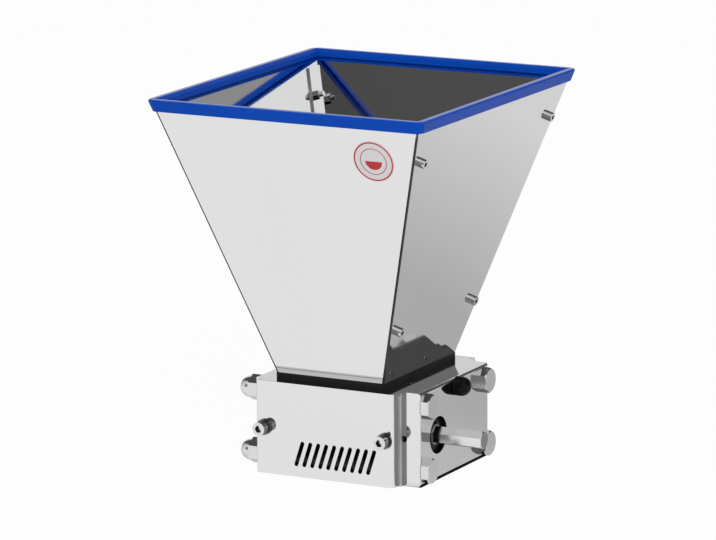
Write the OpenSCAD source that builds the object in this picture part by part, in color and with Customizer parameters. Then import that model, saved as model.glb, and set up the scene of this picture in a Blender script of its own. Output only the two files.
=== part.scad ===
// Malt mill: two fluted rollers with meshing gears, a gap adjuster and a folded sheet hopper.
// Millimetres, +Z up, front towards -Y, rollers along X, standing on Z = 0.

/* [Body] */
// Height of the covers and of the top plate's upper face
body_height = 70; // [66:0.5:80]
// Clear distance between the two side plates
plate_gap = 90; // [70:1:100]
// Thickness of a side plate
plate_thickness = 15; // [14:0.5:18]
// Thickness of the top plate
top_plate_thickness = 2; // [1.5:0.25:3]
// Distance of the throat's front and rear edges from the side plates' ends
throat_margin = 25; // [23:0.5:30]
// Setback of the front and rear covers from the side plates' outer faces
cover_inset = 3; // [1:0.25:4]
// Depth of the folded covers, from their face to the side plates
cover_depth = 7.2; // [5:0.1:10]
// Sheet of the front, rear and gear covers
cover_sheet = 1.5; // [1:0.1:2]
// Outer bend radius of the covers
cover_bend = 2.5; // [2:0.1:4]

/* [Hopper] */
// Setback of the hopper's foot from the side plates' inner faces
foot_inset_side = 0.5; // [0.5:0.25:3]
// Setback of the hopper's foot from the side plates' front and rear ends
foot_inset_front = 2.75; // [2:0.25:6]
// Width of the hopper at the top of the sheet, outside
hopper_top_width = 217; // [160:1:260]
// Depth of the hopper at the top of the sheet, outside
hopper_top_depth = 252; // [200:1:300]
// Height of the hopper's sheet
hopper_height = 207; // [150:1:260]
// Sheet of the hopper
hopper_sheet = 1.5; // [1:0.1:2]
// Thickness of the seal under the hopper
seal_thickness = 5; // [3:0.5:8]
// Width of the flange folded inside each seam
seam_flange = 18; // [15:0.5:24]
// Width of the foot folded inwards at the front and back
foot_flange = 14; // [12:0.5:18]
// Diameter of the sticker on the front panel
sticker_d = 32; // [20:1:40]

/* [Rim trim] */
// Wall of the U-shaped trim
trim_wall = 2.8; // [1.5:0.1:3.5]
// Height of the trim below the sheet's edge
trim_skirt = 6; // [4:0.5:10]
// Height of the trim's shorter inner leg below the rim
trim_inner_leg = 2.5; // [1.5:0.5:6]
// Height of the trim above the sheet's edge
trim_cap = 3; // [1.5:0.1:4]
// Plan radius of the trim's corners
trim_corner = 6.5; // [3:0.5:7]

/* [Gear cover] */
// Thickness of the gear cover, along the rollers
gear_cover_thickness = 13; // [12.5:0.5:18]
// Setback of the gear cover from the side plate's front and rear edges
gear_cover_inset = 4.2; // [2:0.1:6]
// Diameter of the hole round the drive shaft
shaft_hole_d = 28; // [20:1:32]

/* [Rollers] */
// Height of the roller axes
axis_height = 33; // [31:0.5:35]
// Distance of the drive axis from the side plates' front edge
drive_setback = 34.1; // [33:0.1:36]
// Distance of the second roller's axis at rest from the side plates' rear edge
idle_setback = 45.15; // [43:0.05:50]
// Diameter of the rollers over the flutes
roller_d = 41.5; // [38:0.5:42]
// Gap between the rollers at rest
roller_gap = 1.25; // [1:0.05:1.5]
// Gap between the rollers when they are set closest
closest_gap = 0.5; // [0.3:0.05:0.6]
// Play between a roller's end and the side plate
roller_play = 0.5; // [0.3:0.1:1]
// Number of flutes on a roller
flute_count = 40; // [24:1:48]
// Depth of the flutes
flute_depth = 0.9; // [0.4:0.1:1.2]
// Diameter of the shafts
shaft_d = 15; // [15:0.5:17]
// Width across the flats of the drive end
hex_flats = 12; // [10:0.5:12.5]
// Length of the drive end that stands out of the gear cover
drive_reach = 37.5; // [25:0.5:60]
// Outer diameter of the bearings
bearing_d = 32; // [30:0.5:34]
// Width of the bearings
bearing_width = 9; // [7:0.5:10]

/* [Gears] */
// Number of teeth on each gear
gear_teeth = 21; // [17:2:27]
// Width of the gear teeth
gear_face = 6; // [5:0.25:6.5]
// Thinning of each tooth for backlash
tooth_thinning = 0.15; // [0.05:0.05:0.3]

/* [Gap adjuster] */
// Distance of the adjuster axis behind the middle of the mill
adjuster_setback = 2.2; // [0:0.1:5]
// Distance of the adjuster axis below the top of the body
adjuster_drop = 6; // [5.5:0.1:6.5]
// Diameter of the adjuster knobs
knob_d = 14.5; // [12:0.5:20]
// Height of the adjuster knobs
knob_height = 11.6; // [9:0.1:16]
// Travel of the carriages each way from rest
gap_travel = 0.75; // [0.4:0.05:0.75]
// Offset of the eccentric pin from the spindle's axis
eccentric = 1; // [0.6:0.05:1]
// Diameter of the adjuster spindle
spindle_d = 6.5; // [6.25:0.25:6.75]
// Diameter of the eccentric pin and of the spindle's inner journal
pin_d = 4; // [3:0.25:4]

/* [Fasteners] */
// Diameter of the tie bolts
tie_d = 10; // [8:0.5:10]
// Width across the flats of the tie bolts and dome nuts
tie_flats = 17; // [13:0.5:17]
// Distance of the tie bolts from the side plates' front and rear edges
tie_inset = 13.5; // [12:0.5:14]
// Height of the lower tie bolts above the base
tie_low = 11; // [10:0.5:12]
// Distance of the upper tie bolts below the top of the body
tie_drop = 11; // [10:0.5:12]
// Height of a dome nut
dome_nut_height = 18; // [16:0.5:20]
// Diameter of the cover screws
cover_screw_d = 6; // [4:0.5:6]
// Distance of each cover screw from the side plate's outer face
cover_screw_inset = 10; // [8:0.5:11]
// Diameter of the seam screws of the hopper
seam_screw_d = 4; // [3:0.5:5]
// Distance of the seam screws from the slanted edges
seam_screw_edge = 11; // [9:0.5:13]
// Distance of the upper seam screws from the sheet's top edge
seam_screw_top = 32; // [20:1:50]
// Distance of the lower seam screws from the sheet's foot
seam_screw_low = 43; // [30:1:60]
// Diameter of the screws in the top plate
plate_screw_d = 5; // [4:0.5:5]

/* [Fits] */
// Radial clearance of pressed and screwed fits
seat_fit = 0.02; // [0.01:0.01:0.04]
// Radial clearance of running shafts
running_fit = 0.04; // [0.02:0.01:0.08]
// Clearance of sliding flat faces
sliding_fit = 0.1; // [0.05:0.05:0.15]
// Clearance of holes that a bolt passes through
bolt_fit = 0.3; // [0.2:0.1:0.5]
// Gap between parts that must stay apart
free_gap = 0.4; // [0.3:0.05:0.5]

/* [Hidden] */
$fn = 64;

polished = "gainsboro";
steel = "silver";
dark = "dimgray";
overlap = 0.5;
cut = 1;
corner_turn = 22.5;
round_turn = 30;

plate_inner = plate_gap / 2;
plate_outer = plate_inner + plate_thickness;
axis_distance = roller_d + roller_gap;
plate_depth = drive_setback + axis_distance + idle_setback;
plate_front = plate_depth / 2;
plate_height = body_height - top_plate_thickness;
cover_width = 2 * (plate_outer - cover_inset);
cover_screw_x = plate_outer - cover_screw_inset;
cover_face = plate_front + cover_depth;
cover_screw_z = body_height / 2;

drive_y = drive_setback - plate_front;
idle_y = drive_y + axis_distance;
shaft_r = shaft_d / 2;
roller_length = plate_gap - 2 * roller_play;
journal_hole_r = shaft_r + 3;

tie_y = plate_front - tie_inset;
tie_high = body_height - tie_drop;
tie_places = [for (y = [-tie_y, tie_y], z = [tie_low, tie_high]) [y, z]];
tie_washer_thickness = 2;
tie_head = 6.4;
spacer_wall = 1.5;
spacer_r = tie_d / 2 + bolt_fit + spacer_wall;
cover_spacer_wall = 1.2;

gear_cover_face = plate_outer + gear_cover_thickness;
gear_cover_front = plate_front - gear_cover_inset;
gear_cover_inside = gear_cover_face - cover_sheet;
notch_r = 2.5;
shaft_end = gear_cover_face + drive_reach;

carriage_wall = 3;
carriage_half = bearing_d / 2 + carriage_wall;
carriage_lip = 4;
carriage_flange = 2.5;
flange_in = plate_outer + sliding_fit;
flange_out = flange_in + carriage_flange;
window_slack = gap_travel + free_gap;
bearing_in = plate_inner + 0.2;

adjuster_z = body_height - adjuster_drop;
fork_wall = 3;
fork_slack = 0.15;
fork_half = pin_d / 2 + fork_slack + fork_wall;
fork_top = adjuster_z + eccentric + pin_d / 2;
journal_depth = 8;
spindle_step = flange_out + sliding_fit;
collar_r = spindle_d / 2 + 0.35;
collar_thickness = 1.2;

circlip = 1;
circlip_rim = 2.5;
circlip_groove = 0.4;
circlip_mouth = 5;
gear_module = (roller_d + closest_gap) / gear_teeth;
pressure_angle = 20;
pitch_r = gear_module * gear_teeth / 2;
base_r = pitch_r * cos(pressure_angle);
tip_r = pitch_r + gear_module;
root_r = pitch_r - 1.25 * gear_module;
gear_hub_r = shaft_r + 3.5;
gear_in = flange_out + free_gap;
gear_out = gear_in + gear_face;
flank_steps = 4;
key_width = 5;
key_height = 5;
key_depth = 3;
drive_left_end = plate_outer + free_gap + 2 * circlip;
idle_left_end = flange_out + free_gap + 2 * circlip;
idle_right_end = gear_out + sliding_fit + 1.6 * circlip;
hex_turn = 10;
hex_chamfer = 1;

foot_half_x = plate_inner - foot_inset_side;
foot_half_y = plate_front - foot_inset_front;
slope_x = (hopper_top_width / 2 - foot_half_x) / hopper_height;
slope_y = (hopper_top_depth / 2 - foot_half_y) / hopper_height;
lean_side = atan(slope_x);
lean_front = atan(slope_y);
hopper_z = body_height + seal_thickness;
hopper_top = hopper_z + hopper_height;
slant_side = hopper_height / cos(lean_side);
slant_front = hopper_height / cos(lean_front);
seam_gap = 0.1;
trim_round = min(trim_cap, trim_wall) * 0.7;
side_inset = (hopper_sheet + seam_gap) / cos(lean_side);
front_half_low = foot_half_x - side_inset;
front_half_high = front_half_low + slope_x * cos(lean_front) * slant_front;
side_edge = 0.8;
flange_low = 4;
flange_high = slant_side - trim_skirt - 4;
foot_end_gap = 3;
throat_half_x = plate_inner - roller_play;
throat_half_y = plate_front - throat_margin;
lip_gap = 3;
seal_inner_x = foot_half_x - 4;

socket_head_ratio = 10 / 6;
socket_key_ratio = 5 / 6;
seam_head_d = seam_screw_d * 7 / 4;
seam_nut_flats = seam_screw_d * 7 / 4;
seam_nut_height = seam_screw_d * 0.8;
seam_shank = hopper_sheet * 2 + seam_gap + seam_nut_height + 3;
cover_head_d = cover_screw_d * socket_head_ratio;
washer_thickness = cover_screw_d * 0.27;
washer_r = cover_screw_d;
screw_hold = 15;
cover_grip = cover_depth + screw_hold;
plate_screw_x = plate_inner + plate_thickness / 2;
plate_screw_setback = 33;
plate_screw_y = plate_front - plate_screw_setback;
plate_screw_length = 12;
base_screw_setback = 15;
base_screw_x = foot_half_x - base_screw_setback;
base_screw_y = foot_half_y - foot_flange / 2;
base_screw_head = 2.8;
slot_count = 10;
slot_width = 3.2;
slot_height = 20;
slot_pitch = 6.6;
slot_lean = 18;
slot_x = 9;
slot_z = 17.5;
sticker_thickness = 0.3;
sticker_side = 41.5;
sticker_x = hopper_top_width / 2 - sticker_side;
sticker_drop = 32;

// The part's origin is the middle of its base box, also where the drive end reaches past the rim.
rim_half = wall_x(hopper_top + trim_cap - trim_round, trim_wall);
mill_x = min(rim_half - shaft_end, 0) / 2;

function polar(r, a) = [r * cos(a), r * sin(a)];
function involute_angle(r) = let (a = acos(base_r / r)) tan(a) * 180 / PI - a;
function tooth_half(r) =
    90 / gear_teeth - tooth_thinning / pitch_r * 90 / PI + involute_angle(pitch_r) - involute_angle(r);
function hex_r(flats) = flats / sqrt(3);
function above_roller(dy, gap) = axis_height + sqrt(max(pow(roller_d / 2 + gap, 2) - dy * dy, 0));

module at_mill() {
    translate([mill_x, 0, 0])
        children();
}

module rod_x(x0, x1, r) {
    translate([x0, 0, 0])
        rotate([0, 90, 0])
            cylinder(h = x1 - x0, r = r);
}

module hex_x(x0, x1, flats) {
    translate([x0, 0, 0])
        rotate([0, 90, 0])
            cylinder(h = x1 - x0, r = hex_r(flats), $fn = 6);
}

module tube_x(x0, x1, outer, inner) {
    difference() {
        rod_x(x0, x1, outer);
        rod_x(x0 - cut, x1 + cut, inner);
    }
}

module profile_x(x0, x1) {
    translate([x0, 0, 0])
        rotate([90, 0, 90])
            linear_extrude(x1 - x0)
                children();
}

module at_yz(y, z) {
    translate([0, y, z])
        children();
}

module rounded_rect(w, h, r) {
    square([w - 2 * r, h], center = true);
    square([w, h - 2 * r], center = true);
    for (x = [-1, 1], y = [-1, 1])
        translate([x * (w / 2 - r), y * (h / 2 - r)])
            circle(r);
}

module both_ends_y() {
    children();
    mirror([0, 1, 0])
        children();
}

module both_sides_x() {
    children();
    mirror([1, 0, 0])
        children();
}

// Screw along +Z with its seat at Z = 0 and a hex socket in its head
module socket_screw(d, head_d, head_h, length) {
    difference() {
        union() {
            cylinder(h = head_h, d = head_d);
            translate([0, 0, -length])
                cylinder(h = length + head_h / 2, d = d);
        }
        translate([0, 0, head_h / 2])
            cylinder(h = head_h, r = hex_r(d * socket_key_ratio), $fn = 6);
    }
}

// Side plates, shown for the right side and mirrored for the left
module side_plate() {
    difference() {
        translate([plate_inner, -plate_front, 0])
            cube([plate_thickness, plate_depth, plate_height]);
        for (place = tie_places)
            at_yz(place[0], place[1])
                rod_x(plate_inner - cut, plate_outer + cut, tie_d / 2 + bolt_fit);
        at_yz(drive_y, axis_height) {
            rod_x(plate_inner - cut, bearing_in + bearing_width, bearing_d / 2 + seat_fit);
            rod_x(plate_inner - cut, plate_outer + cut, journal_hole_r);
        }
        at_yz(idle_y, axis_height)
            profile_x(plate_inner - cut, plate_outer + cut)
                square(2 * [carriage_half + window_slack, carriage_half + sliding_fit], center = true);
        at_yz(adjuster_setback, adjuster_z)
            rod_x(plate_outer - journal_depth - cut, plate_outer + cut, pin_d / 2 + running_fit);
        both_ends_y()
            translate([cover_screw_x, cut - plate_front, cover_screw_z])
                rotate([90, 0, 0])
                    translate([0, 0, -cover_grip + cover_depth])
                        cylinder(h = cover_grip, d = cover_screw_d + 2 * seat_fit);
        both_ends_y()
            translate([plate_screw_x, plate_screw_y, plate_height - plate_screw_length])
                cylinder(h = plate_screw_length + cut, d = plate_screw_d + 2 * seat_fit);
    }
}

module right_side_plate() {
    color(polished)
        at_mill()
            side_plate();
}

module left_side_plate() {
    color(polished)
        at_mill()
            mirror([1, 0, 0])
                side_plate();
}

// Folded tray with rounded bends, shown for the front and mirrored for the rear
module cover_tray() {
    difference() {
        translate([0, -plate_front, 0])
            linear_extrude(body_height)
                difference() {
                    rounded_rect(cover_width, 2 * cover_depth, cover_bend);
                    rounded_rect(cover_width - 2 * cover_sheet, 2 * (cover_depth - cover_sheet),
                        cover_bend - cover_sheet);
                    translate([-cover_width, 0])
                        square([2 * cover_width, cover_depth + cut]);
                }
        both_sides_x()
            translate([cover_screw_x, -plate_front, cover_screw_z])
                rotate([90, 0, 0])
                    cylinder(h = cover_depth + cut, d = cover_screw_d + 2 * bolt_fit);
    }
}

module round_slot() {
    square([slot_width, slot_height - slot_width], center = true);
    for (end = [-1, 1])
        translate([0, end * (slot_height - slot_width) / 2])
            circle(d = slot_width);
}

module front_cover() {
    color(polished)
        at_mill()
            difference() {
                cover_tray();
                for (i = [0 : slot_count - 1])
                    translate([slot_x + (i - (slot_count - 1) / 2) * slot_pitch, -plate_front, slot_z])
                        rotate([90, slot_lean, 0])
                            linear_extrude(cover_depth + cut)
                                round_slot();
            }
}

module rear_cover() {
    color(polished)
        at_mill()
            mirror([0, 1, 0])
                cover_tray();
}

module at_cover_screws() {
    both_ends_y()
        both_sides_x()
            translate([cover_screw_x, -cover_face, cover_screw_z])
                rotate([90, 0, 0])
                    children();
}

module cover_screws() {
    color(steel)
        at_mill()
            at_cover_screws()
                translate([0, 0, 2 * washer_thickness])
                    socket_screw(cover_screw_d, cover_head_d, cover_screw_d,
                        cover_grip + 2 * washer_thickness - cut);
}

module cover_washers() {
    color(steel)
        at_mill()
            at_cover_screws()
                difference() {
                    union() {
                        cylinder(h = washer_thickness, r = washer_r);
                        translate([0, 0, washer_thickness])
                            cylinder(h = washer_thickness, d = cover_head_d);
                    }
                    translate([0, 0, -cut])
                        cylinder(h = 2 * washer_thickness + 2 * cut, d = cover_screw_d + 2 * seat_fit);
                    translate([0, -washer_thickness / 4, washer_thickness])
                        cube([washer_r, washer_thickness / 2, washer_thickness + cut]);
                }
}

module at_plate_screws() {
    both_ends_y()
        both_sides_x()
            translate([plate_screw_x, plate_screw_y, body_height])
                children();
}

module at_base_screws() {
    both_ends_y()
        both_sides_x()
            translate([base_screw_x, base_screw_y, hopper_z + hopper_sheet])
                children();
}

// Lip folded down from the throat's edge towards the rollers
module throat_lip(y, roller_y) {
    lip_low = above_roller(max(abs(y - roller_y) - gap_travel, 0), lip_gap);
    translate([-throat_half_x, y - (y > 0 ? 0 : top_plate_thickness), lip_low])
        cube([2 * throat_half_x, top_plate_thickness, body_height - lip_low]);
}

module top_plate() {
    color(polished)
        at_mill()
            difference() {
                union() {
                    translate([-plate_outer, -plate_front, plate_height])
                        cube([2 * plate_outer, plate_depth, top_plate_thickness]);
                    translate([-cover_width / 2 + cover_sheet + free_gap,
                        -cover_face + cover_sheet + free_gap,
                            plate_height])
                        cube([cover_width - 2 * (cover_sheet + free_gap),
                            2 * (cover_face - cover_sheet - free_gap), top_plate_thickness]);
                    throat_lip(-throat_half_y, drive_y);
                    throat_lip(throat_half_y, idle_y);
                }
                translate([-throat_half_x, -throat_half_y, 0])
                    cube([2 * throat_half_x, 2 * throat_half_y, body_height + cut]);
                at_plate_screws() {
                    translate([0, 0, -top_plate_thickness - cut])
                        cylinder(h = top_plate_thickness + 2 * cut, d = plate_screw_d + 2 * bolt_fit);
                    translate([0, 0, -plate_screw_d * 0.3])
                        cylinder(h = plate_screw_d / 2, d1 = plate_screw_d, d2 = 2 * plate_screw_d);
                }
                at_base_screws()
                    translate([0, 0, -hopper_sheet - seal_thickness - top_plate_thickness - cut])
                        cylinder(h = top_plate_thickness + 2 * cut, d = plate_screw_d + 2 * seat_fit);
            }
}

module top_plate_screws() {
    color(steel)
        at_mill()
            at_plate_screws()
                difference() {
                    intersection() {
                        union() {
                            translate([0, 0, -plate_screw_d * 0.3 - seat_fit])
                                cylinder(h = plate_screw_d / 2, d1 = plate_screw_d - 4 * seat_fit,
                                    d2 = 2 * plate_screw_d - 4 * seat_fit);
                            translate([0, 0, -plate_screw_length])
                                cylinder(h = plate_screw_length, d = plate_screw_d);
                        }
                        translate([0, 0, -plate_screw_length])
                            cylinder(h = plate_screw_length, r = 2 * plate_screw_d);
                    }
                    translate([0, 0, -plate_screw_d / 4])
                        cylinder(h = plate_screw_d, r = hex_r(plate_screw_d * 0.6), $fn = 6);
                }
}

module hopper_base_screws() {
    color(steel)
        at_mill()
            at_base_screws()
                socket_screw(plate_screw_d, 2 * plate_screw_d, base_screw_head,
                    hopper_sheet + seal_thickness + top_plate_thickness);
}

module hopper_seal() {
    color("#1a1a1a")
        at_mill()
            difference() {
                translate([-foot_half_x, -foot_half_y, body_height])
                    cube([2 * foot_half_x, 2 * foot_half_y, seal_thickness]);
                translate([-seal_inner_x, -foot_half_y + foot_flange, body_height - cut])
                    cube([2 * seal_inner_x, 2 * (foot_half_y - foot_flange), seal_thickness + 2 * cut]);
                at_base_screws()
                    translate([0, 0, -hopper_sheet - seal_thickness - cut])
                        cylinder(h = seal_thickness + 2 * cut, d = plate_screw_d + 2 * bolt_fit);
            }
}

// Sheet in a leaning wall that faces -Y: X is across, Y is up the slope, the outer face is at the wall
module leaning_sheet(half, lean, thickness) {
    translate([0, -half, hopper_z])
        rotate([90 + lean, 0, 0])
            translate([0, 0, -thickness])
                linear_extrude(thickness)
                    children();
}

function seam_y(v) = foot_half_y + slope_y * cos(lean_side) * v;

// Frame on the right hopper panel: X to the back, Y up the slope, Z outwards from its outer face
module on_right_panel(u, v) {
    rotate([0, 0, 90])
        translate([0, -foot_half_x, hopper_z])
            rotate([90 + lean_side, 0, 0])
                translate([u, v, 0])
                    children();
}

module at_seam_screws() {
    both_sides_x()
        both_ends_y()
            for (v = [seam_screw_low, slant_side - seam_screw_top])
                on_right_panel(-seam_y(v) + seam_screw_edge, v)
                    children();
}

module seam_hole() {
    translate([0, 0, -4 * hopper_sheet])
        cylinder(h = 6 * hopper_sheet, d = seam_screw_d + 2 * bolt_fit);
}

module seam_flange_sheet() {
    lap = hopper_sheet * 0.3;
    rotate([0, 0, 90])
        leaning_sheet(foot_half_x - side_inset, lean_side, hopper_sheet)
            polygon([
                [-seam_y(flange_low) + lap, flange_low],
                [-seam_y(flange_low) + seam_flange, flange_low],
                [-seam_y(flange_high) + seam_flange, flange_high],
                [-seam_y(flange_high) + lap, flange_high]
            ]);
}

module end_panel() {
    difference() {
        union() {
            leaning_sheet(foot_half_y, lean_front, hopper_sheet)
                polygon([
                    [-front_half_low, 0],
                    [front_half_low, 0],
                    [front_half_high, slant_front],
                    [-front_half_high, slant_front]
                ]);
            both_sides_x()
                seam_flange_sheet();
            translate([-front_half_low + foot_end_gap, -foot_half_y + hopper_sheet / 3, hopper_z])
                cube([2 * (front_half_low - foot_end_gap), foot_flange - hopper_sheet / 3, hopper_sheet]);
        }
        at_seam_screws()
            seam_hole();
        at_base_screws()
            translate([0, 0, -2 * hopper_sheet])
                cylinder(h = 3 * hopper_sheet, d = plate_screw_d + 2 * bolt_fit);
    }
}

module hopper_front_panel() {
    color(polished)
        at_mill()
            end_panel();
}

module hopper_back_panel() {
    color(polished)
        at_mill()
            mirror([0, 1, 0])
                end_panel();
}

module side_panel() {
    difference() {
        rotate([0, 0, 90])
            leaning_sheet(foot_half_x, lean_side, hopper_sheet)
                polygon([
                    [-seam_y(0) + side_edge, 0],
                    [seam_y(0) - side_edge, 0],
                    [seam_y(slant_side) - side_edge, slant_side],
                    [-seam_y(slant_side) + side_edge, slant_side]
                ]);
        at_seam_screws()
            seam_hole();
    }
}

module hopper_right_panel() {
    color(polished)
        at_mill()
            side_panel();
}

module hopper_left_panel() {
    color(polished)
        at_mill()
            mirror([1, 0, 0])
                side_panel();
}

module seam_screws() {
    color(steel)
        at_mill()
            at_seam_screws()
                socket_screw(seam_screw_d, seam_head_d, seam_screw_d, seam_shank);
}

module seam_nuts() {
    color(steel)
        at_mill()
            at_seam_screws()
                translate([0, 0, -2 * hopper_sheet - seam_gap - seam_nut_height])
                    difference() {
                        cylinder(h = seam_nut_height, r = hex_r(seam_nut_flats), $fn = 6);
                        translate([0, 0, -cut])
                            cylinder(h = seam_nut_height + 2 * cut, d = seam_screw_d + 2 * seat_fit);
                    }
}

function wall_x(z, out) = foot_half_x + slope_x * (z - hopper_z) + out / cos(lean_side);
function wall_y(z, out) = foot_half_y + slope_y * (z - hopper_z) + out / cos(lean_front);

// Slab between two planes that lean like the hopper's walls, turned by an angle about Z
function reach(turn, z, out, corner) =
    (wall_x(z, out) - corner) * abs(cos(turn)) + (wall_y(z, out) - corner) * abs(sin(turn)) + corner;

module leaning_slab(turn, z0, z1, out0, out1, corner) {
    span = 2 * (hopper_top_width + hopper_top_depth);
    low = reach(turn, z0, out0, corner);
    high = reach(turn, z1, out1, corner);
    rotate([0, 0, turn])
        rotate([90, 0, 0])
            linear_extrude(span, center = true)
                polygon([[-low, z0], [low, z0], [high, z1], [-high, z1]]);
}

// Solid between two heights with sides parallel to the hopper's walls
module wall_prism(z0, z1, out0, out1) {
    intersection() {
        leaning_slab(0, z0, z1, out0, out1, 0);
        leaning_slab(90, z0, z1, out0, out1, 0);
    }
}

// The same with its corners rounded in three flats
module round_prism(z0, z1, out0, out1) {
    intersection() {
        wall_prism(z0, z1, out0, out1);
        leaning_slab(corner_turn, z0, z1, out0, out1, trim_corner);
        leaning_slab(2 * corner_turn, z0, z1, out0, out1, trim_corner);
        leaning_slab(3 * corner_turn, z0, z1, out0, out1, trim_corner);
        leaning_slab(-corner_turn, z0, z1, out0, out1, trim_corner);
        leaning_slab(-2 * corner_turn, z0, z1, out0, out1, trim_corner);
        leaning_slab(-3 * corner_turn, z0, z1, out0, out1, trim_corner);
    }
}

// Setback of the trim's rounded shoulder at an angle of its arc
function round_back(turn) = trim_round * (1 - cos(turn));

module rim_trim() {
    low = hopper_top - trim_skirt;
    high = hopper_top + trim_cap;
    shoulder = high - trim_round;
    inside = -hopper_sheet - trim_wall;
    sheet_inside = -hopper_sheet - seam_gap;
    slot_top = hopper_top + hopper_sheet * sin(max(lean_front, lean_side)) + seam_gap;
    color("royalblue")
        at_mill()
            difference() {
                hull() {
                    round_prism(low, shoulder, trim_wall, trim_wall);
                    for (turn = [0, round_turn, 2 * round_turn])
                        round_prism(
                            shoulder + trim_round * sin(turn), shoulder + trim_round * sin(turn + round_turn),
                            trim_wall - round_back(turn), trim_wall - round_back(turn + round_turn));
                }
                wall_prism(low - cut, high + cut, inside, inside);
                wall_prism(low - cut, hopper_top - trim_inner_leg, sheet_inside, sheet_inside);
                wall_prism(shoulder, high + trim_round, inside, inside + 2 * trim_round);
                difference() {
                    wall_prism(low - cut, slot_top, seam_gap, seam_gap);
                    wall_prism(low - 2 * cut, hopper_top + cut, sheet_inside, sheet_inside);
                }
            }
}

module round_sticker() {
    color("white")
        at_mill()
            leaning_disc();
}

module leaning_disc() {
    translate([0, -foot_half_y, hopper_z])
        rotate([90 + lean_front, 0, 0])
            translate([sticker_x, slant_front - sticker_drop, 0])
                cylinder(h = sticker_thickness, d = sticker_d);
}

// Box with rounded outer edges, its open side towards the side plate
module cover_box(x1, half_y, z0, z1, r) {
    intersection() {
        translate([plate_outer, 0, 0])
            linear_extrude(2 * body_height, center = true)
                rounded_rect(2 * (x1 - plate_outer), 2 * half_y, r);
        translate([plate_outer, 0, (z0 + z1) / 2])
            rotate([90, 0, 0])
                linear_extrude(2 * plate_depth, center = true)
                    rounded_rect(2 * (x1 - plate_outer), z1 - z0, r);
        translate([plate_outer, -plate_depth, -body_height])
            cube([2 * gear_cover_thickness, 2 * plate_depth, 3 * body_height]);
    }
}

module gear_cover() {
    color(polished)
        at_mill()
            difference() {
                cover_box(gear_cover_face, gear_cover_front, 0, body_height, cover_bend);
                translate([-cut, 0, 0])
                    cover_box(gear_cover_inside + cut, gear_cover_front - cover_sheet, cover_sheet,
                        body_height - cover_sheet, cover_bend - cover_sheet);
                for (place = tie_places)
                    at_yz(place[0], place[1])
                        rod_x(plate_outer - 2 * cut, gear_cover_face + cut, tie_d / 2 + bolt_fit);
                at_yz(drive_y, axis_height)
                    rod_x(plate_outer - 2 * cut, gear_cover_face + cut, shaft_hole_d / 2);
                at_yz(adjuster_setback, adjuster_z)
                    rod_x(plate_outer - 2 * cut, gear_cover_face + cut, spindle_d / 2 + running_fit);
                translate([plate_outer, 0, body_height / 2])
                    rotate([90, 0, 0])
                        cylinder(h = 2 * plate_depth, r = notch_r, center = true);
            }
}

module tie_bolts() {
    color(steel)
        at_mill()
            for (place = tie_places)
                at_yz(place[0], place[1]) {
                    rod_x(-plate_outer - tie_washer_thickness - dome_nut_height * 0.6,
                        gear_cover_face + cut, tie_d / 2);
                    intersection() {
                        hex_x(gear_cover_face, gear_cover_face + tie_head, tie_flats);
                        translate([gear_cover_face, 0, 0])
                            rotate([0, 90, 0])
                                cylinder(h = tie_head, r1 = hex_r(tie_flats) + tie_head, r2 = tie_flats / 2);
                    }
                }
}

module dome_nuts() {
    seat = plate_outer + tie_washer_thickness;
    dome_r = tie_flats / 2 - 0.5;
    hex_part = dome_nut_height - dome_r - 1.5;
    color(steel)
        at_mill()
            mirror([1, 0, 0])
                for (place = tie_places)
                    at_yz(place[0], place[1])
                        difference() {
                            union() {
                                hex_x(seat, seat + hex_part, tie_flats);
                                rod_x(seat + hex_part - cut, seat + dome_nut_height - dome_r, dome_r);
                                translate([seat + dome_nut_height - dome_r, 0, 0])
                                    sphere(dome_r);
                            }
                            rod_x(seat - cut, seat + dome_nut_height * 0.6 + 0.5, tie_d / 2 + seat_fit);
                        }
}

module tie_washers() {
    color(steel)
        at_mill()
            for (place = tie_places)
                at_yz(place[0], place[1])
                    tube_x(-plate_outer - tie_washer_thickness, -plate_outer, tie_d, tie_d / 2 + bolt_fit);
}

module spacer_tubes() {
    color(steel)
        at_mill()
            for (place = tie_places)
                at_yz(place[0], place[1])
                    tube_x(-plate_inner, plate_inner, spacer_r, tie_d / 2 + bolt_fit);
}

module cover_spacers() {
    color(steel)
        at_mill()
            for (place = tie_places)
                at_yz(place[0], place[1])
                    tube_x(plate_outer, gear_cover_inside, tie_d / 2 + bolt_fit + cover_spacer_wall,
                        tie_d / 2 + bolt_fit);
}

// Ball bearings with a shallow seal groove in each face
module bearing_pair(bore) {
    groove = 0.6;
    ring = (bearing_d / 2 - shaft_r) * 0.3;
    both_sides_x()
        difference() {
            tube_x(bearing_in, bearing_in + bearing_width, bearing_d / 2, bore);
            for (x = [bearing_in - cut, bearing_in + bearing_width - groove])
                tube_x(x, x + cut + groove, bearing_d / 2 - ring, shaft_r + ring);
        }
}

module drive_bearings() {
    color(dark)
        at_mill()
            at_yz(drive_y, axis_height)
                bearing_pair(shaft_r + running_fit);
}

module idle_bearings() {
    color(dark)
        at_mill()
            at_yz(idle_y, axis_height)
                bearing_pair(shaft_r + running_fit);
}

module fluted_roller() {
    pitch = 360 / flute_count;
    land = 0.35;
    difference() {
        profile_x(-roller_length / 2, roller_length / 2)
            polygon([for (i = [0 : flute_count - 1])
                each [
                    polar(roller_d / 2, i * pitch),
                    polar(roller_d / 2, (i + land) * pitch),
                    polar(roller_d / 2 - flute_depth, (i + (1 + land) / 2) * pitch)
                ]]);
        rod_x(-roller_length, roller_length, shaft_r + seat_fit);
    }
}

module drive_roller() {
    color(steel)
        at_mill()
            at_yz(drive_y, axis_height)
                fluted_roller();
}

module idle_roller() {
    color(steel)
        at_mill()
            at_yz(idle_y, axis_height)
                fluted_roller();
}

module circlip_cut(x) {
    tube_x(x, x + circlip, shaft_d, shaft_r - circlip_groove);
}

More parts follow.
